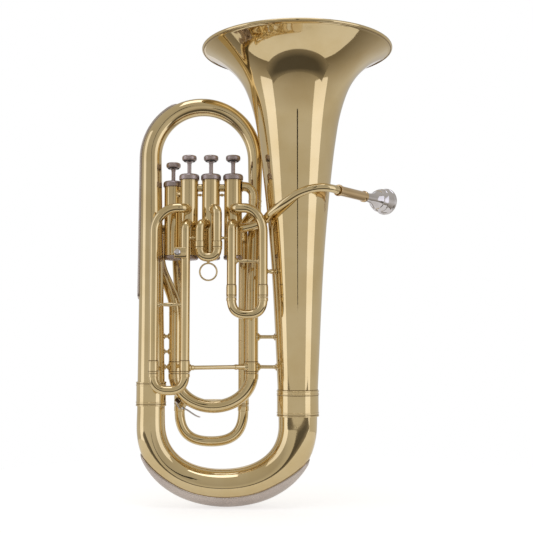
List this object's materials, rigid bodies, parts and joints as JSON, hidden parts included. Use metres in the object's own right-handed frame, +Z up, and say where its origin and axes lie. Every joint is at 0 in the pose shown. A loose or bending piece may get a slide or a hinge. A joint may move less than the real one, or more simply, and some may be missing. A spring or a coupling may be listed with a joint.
{
  "type": "euphonium",
  "caption": "Upright brass horn with a wide bell, piston valves, pull-out tuning slides, a water key, guard plates and a removable cup mouthpiece.",
  "frame": {"origin": "middle of the bounding box at the lowest point of the bottom bow", "axes": "+Z up along the bell's axis, +X towards the mouthpiece side, -Y towards the audience"},
  "size_m": [0.3842, 0.28, 0.6665],
  "materials": {
    "lacquered_brass": "clear-lacquered yellow brass, mirror polished",
    "leadpipe_brass": "clear-lacquered rose brass, mirror polished",
    "nickel": "nickel plate, softly polished",
    "nickel_silver": "nickel silver, satin polished and lacquered",
    "silver_plate": "silver plate, mirror polished",
    "spring_steel": "drawn spring wire",
    "cork": "dark natural cork"
  },
  "bodies": {
    "horn": {"bell": "lacquered_brass", "bell_ferrule": "lacquered_brass", "bottom_bow": "lacquered_brass", "bottom_bow_guard": "nickel_silver", "branch_ferrule": "lacquered_brass", "top_branch": "lacquered_brass", "top_branch_guard": "nickel_silver", "valve_casing_1": "lacquered_brass", "top_cap_1": "nickel", "bottom_cap_1": "nickel", "valve_spring_1": "spring_steel", "valve_casing_2": "lacquered_brass", "top_cap_2": "nickel", "bottom_cap_2": "nickel", "valve_spring_2": "spring_steel", "valve_casing_3": "lacquered_brass", "top_cap_3": "nickel", "bottom_cap_3": "nickel", "valve_spring_3": "spring_steel", "valve_casing_4": "lacquered_brass", "top_cap_4": "nickel", "bottom_cap_4": "nickel", "valve_spring_4": "spring_steel", "casing_link_1_2": "lacquered_brass", "casing_link_2_3": "lacquered_brass", "casing_link_3_4": "lacquered_brass", "third_slide_tubes": "lacquered_brass", "second_slide_left_tube": "lacquered_brass", "second_slide_right_tube": "lacquered_brass", "first_slide_tubes": "lacquered_brass", "main_slide_left_tube": "lacquered_brass", "main_slide_right_tube": "lacquered_brass", "fourth_slide_tubes": "lacquered_brass", "bell_brace_upper": "lacquered_brass", "bell_brace_lower": "lacquered_brass", "long_stay": "lacquered_brass", "leadpipe": "lacquered_brass", "mouthpiece_receiver": "leadpipe_brass", "lyre_holder": "lacquered_brass"},
    "third_slide": {"third_slide_bow": "lacquered_brass"},
    "second_slide": {"second_slide_bow": "lacquered_brass", "second_slide_pull_ring": "lacquered_brass"},
    "first_slide": {"first_slide_bow": "lacquered_brass"},
    "main_slide": {"main_slide_bow": "lacquered_brass", "water_key_pin": "silver_plate", "water_key_spring": "spring_steel"},
    "fourth_slide": {"fourth_slide_bow": "lacquered_brass"},
    "water_key": {"water_key_lever": "silver_plate", "water_key_cork": "cork"},
    "mouthpiece": {"mouthpiece": "silver_plate"},
    "lyre_screw": {"lyre_screw": "silver_plate"},
    "valve_1": {"piston_1": "nickel", "finger_button_1": "nickel"},
    "valve_2": {"piston_2": "nickel", "finger_button_2": "nickel"},
    "valve_3": {"piston_3": "nickel", "finger_button_3": "nickel"},
    "valve_4": {"piston_4": "nickel", "finger_button_4": "nickel"}
  },
  "joints": [
    {"name": "valve_1_press", "type": "slide", "parent": "horn", "child": "valve_1", "axis": [0, 0, -1], "range_m": [0, 0.0165], "stiffness_N_per_m": 150, "springref_m": -0.02, "deforming": ["valve_spring_1"]},
    {"name": "valve_2_press", "type": "slide", "parent": "horn", "child": "valve_2", "axis": [0, 0, -1], "range_m": [0, 0.0165], "stiffness_N_per_m": 150, "springref_m": -0.02, "deforming": ["valve_spring_2"]},
    {"name": "valve_3_press", "type": "slide", "parent": "horn", "child": "valve_3", "axis": [0, 0, -1], "range_m": [0, 0.0165], "stiffness_N_per_m": 150, "springref_m": -0.02, "deforming": ["valve_spring_3"]},
    {"name": "valve_4_press", "type": "slide", "parent": "horn", "child": "valve_4", "axis": [0, 0, -1], "range_m": [0, 0.0165], "stiffness_N_per_m": 150, "springref_m": -0.02, "deforming": ["valve_spring_4"]},
    {"name": "main_slide_pull", "type": "slide", "parent": "horn", "child": "main_slide", "axis": [0, 0, -1], "range_m": [0, 0.04]},
    {"name": "first_slide_pull", "type": "slide", "parent": "horn", "child": "first_slide", "axis": [0, 0, -1], "range_m": [0, 0.04]},
    {"name": "second_slide_pull", "type": "slide", "parent": "horn", "child": "second_slide", "axis": [0, 0, -1], "range_m": [0, 0.018]},
    {"name": "third_slide_pull", "type": "slide", "parent": "horn", "child": "third_slide", "axis": [0, 0, -1], "range_m": [0, 0.04]},
    {"name": "fourth_slide_pull", "type": "slide", "parent": "horn", "child": "fourth_slide", "axis": [0, 0, -1], "range_m": [0, 0.04]},
    {"name": "water_key_open", "type": "hinge", "parent": "main_slide", "child": "water_key", "pos_m": [-0.12473, 0.016, 0.13907], "axis": [0, -1, 0], "range_deg": [0, 12], "stiffness_Nm_per_rad": 0.05, "springref_deg": -20.05},
    {"name": "mouthpiece_pull", "type": "slide", "parent": "horn", "child": "mouthpiece", "axis": [0.643, 0.7655, -0.024], "range_m": [0, 0.022]},
    {"name": "lyre_screw_turn", "type": "hinge", "parent": "horn", "child": "lyre_screw", "pos_m": [-0.12793, -0.045, 0.36027], "axis": [0, -1, 0], "continuous": true}
  ]
}
